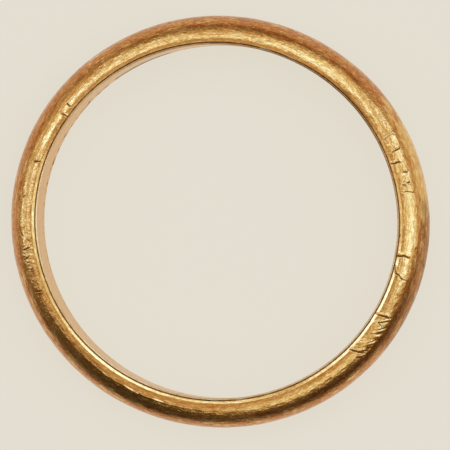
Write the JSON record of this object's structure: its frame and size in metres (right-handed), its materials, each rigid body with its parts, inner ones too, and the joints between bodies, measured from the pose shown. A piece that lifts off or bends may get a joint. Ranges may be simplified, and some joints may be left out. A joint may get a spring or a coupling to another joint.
{
  "type": "bangle bracelet",
  "caption": "Closed slip-on bangle of half-round section: domed sheet-gold shell and flat inner band soldered over a filling.",
  "frame": {"origin": "under the centre of the ring, on the plane it rests on when it lies flat", "axes": "+Z along the axis of the ring, +X along the long way of its slightly oval outline, +Y along the short way"},
  "size_m": [0.0766, 0.0748, 0.01],
  "materials": {
    "shell_gold": "polished",
    "band_gold": "satin",
    "solder_gold": "satin",
    "filling_resin": "matte"
  },
  "bodies": {
    "root": {"outer_shell": "shell_gold", "shell_end_solder": "solder_gold", "inner_band": "band_gold", "band_end_solder": "solder_gold", "front_rim_solder": "solder_gold", "rear_rim_solder": "solder_gold", "core_filling": "filling_resin"}
  },
  "joints": []
}
